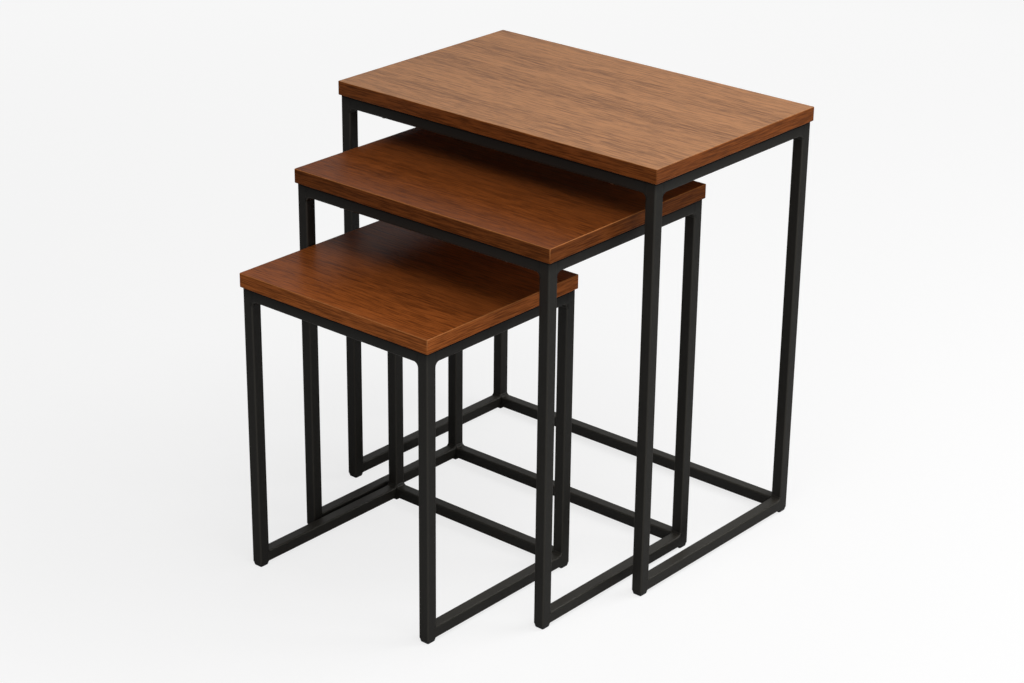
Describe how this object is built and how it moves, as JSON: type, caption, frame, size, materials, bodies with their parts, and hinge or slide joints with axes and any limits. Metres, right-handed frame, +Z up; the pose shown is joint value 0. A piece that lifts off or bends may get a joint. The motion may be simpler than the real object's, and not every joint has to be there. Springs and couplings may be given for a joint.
{
  "type": "nesting tables",
  "caption": "Nest of side tables with walnut boards on black square-tube frames, each sliding in under the next larger one.",
  "frame": {"origin": "centre of the whole set's footprint on the floor, with the tables fanned out as shown", "axes": "+Z up, +X to the right when facing the fronts, +Y from the fronts towards the back; the tables slide along Y"},
  "size_m": [0.5, 0.57, 0.55],
  "materials": {
    "walnut_board": "satin varnished walnut veneer",
    "frame_powder_coat": "fine matt black powder coat",
    "glide_plastic": "moulded black plastic",
    "screw_zinc": "zinc plated"
  },
  "bodies": {
    "large_table": {"large_top": "walnut_board", "large_leg_front_left": "frame_powder_coat", "large_leg_front_right": "frame_powder_coat", "large_leg_back_left": "frame_powder_coat", "large_leg_back_right": "frame_powder_coat", "large_top_rail_left": "frame_powder_coat", "large_top_rail_right": "frame_powder_coat", "large_top_rail_front": "frame_powder_coat", "large_top_rail_back": "frame_powder_coat", "large_bottom_rail_left": "frame_powder_coat", "large_bottom_rail_right": "frame_powder_coat", "large_bottom_rail_back": "frame_powder_coat", "large_foot_front_left": "glide_plastic", "large_foot_front_right": "glide_plastic", "large_foot_back_left": "glide_plastic", "large_foot_back_right": "glide_plastic", "large_screw_front_left": "screw_zinc", "large_screw_front_right": "screw_zinc", "large_screw_back_left": "screw_zinc", "large_screw_back_right": "screw_zinc"},
    "medium_table": {"medium_top": "walnut_board", "medium_leg_front_left": "frame_powder_coat", "medium_leg_front_right": "frame_powder_coat", "medium_leg_back_left": "frame_powder_coat", "medium_leg_back_right": "frame_powder_coat", "medium_top_rail_left": "frame_powder_coat", "medium_top_rail_right": "frame_powder_coat", "medium_top_rail_front": "frame_powder_coat", "medium_top_rail_back": "frame_powder_coat", "medium_bottom_rail_left": "frame_powder_coat", "medium_bottom_rail_right": "frame_powder_coat", "medium_bottom_rail_back": "frame_powder_coat", "medium_foot_front_left": "glide_plastic", "medium_foot_front_right": "glide_plastic", "medium_foot_back_left": "glide_plastic", "medium_foot_back_right": "glide_plastic", "medium_screw_front_left": "screw_zinc", "medium_screw_front_right": "screw_zinc", "medium_screw_back_left": "screw_zinc", "medium_screw_back_right": "screw_zinc"},
    "small_table": {"small_top": "walnut_board", "small_leg_front_left": "frame_powder_coat", "small_leg_front_right": "frame_powder_coat", "small_leg_back_left": "frame_powder_coat", "small_leg_back_right": "frame_powder_coat", "small_top_rail_left": "frame_powder_coat", "small_top_rail_right": "frame_powder_coat", "small_top_rail_front": "frame_powder_coat", "small_top_rail_back": "frame_powder_coat", "small_bottom_rail_left": "frame_powder_coat", "small_bottom_rail_right": "frame_powder_coat", "small_bottom_rail_back": "frame_powder_coat", "small_foot_front_left": "glide_plastic", "small_foot_front_right": "glide_plastic", "small_foot_back_left": "glide_plastic", "small_foot_back_right": "glide_plastic", "small_screw_front_left": "screw_zinc", "small_screw_front_right": "screw_zinc", "small_screw_back_left": "screw_zinc", "small_screw_back_right": "screw_zinc"}
  },
  "joints": [
    {"name": "medium_slide", "type": "slide", "parent": "large_table", "child": "medium_table", "axis": [0, -1, 0], "range_m": [-0.14, 0.17]},
    {"name": "small_slide", "type": "slide", "parent": "medium_table", "child": "small_table", "axis": [0, -1, 0], "range_m": [-0.115, 0.17]}
  ]
}
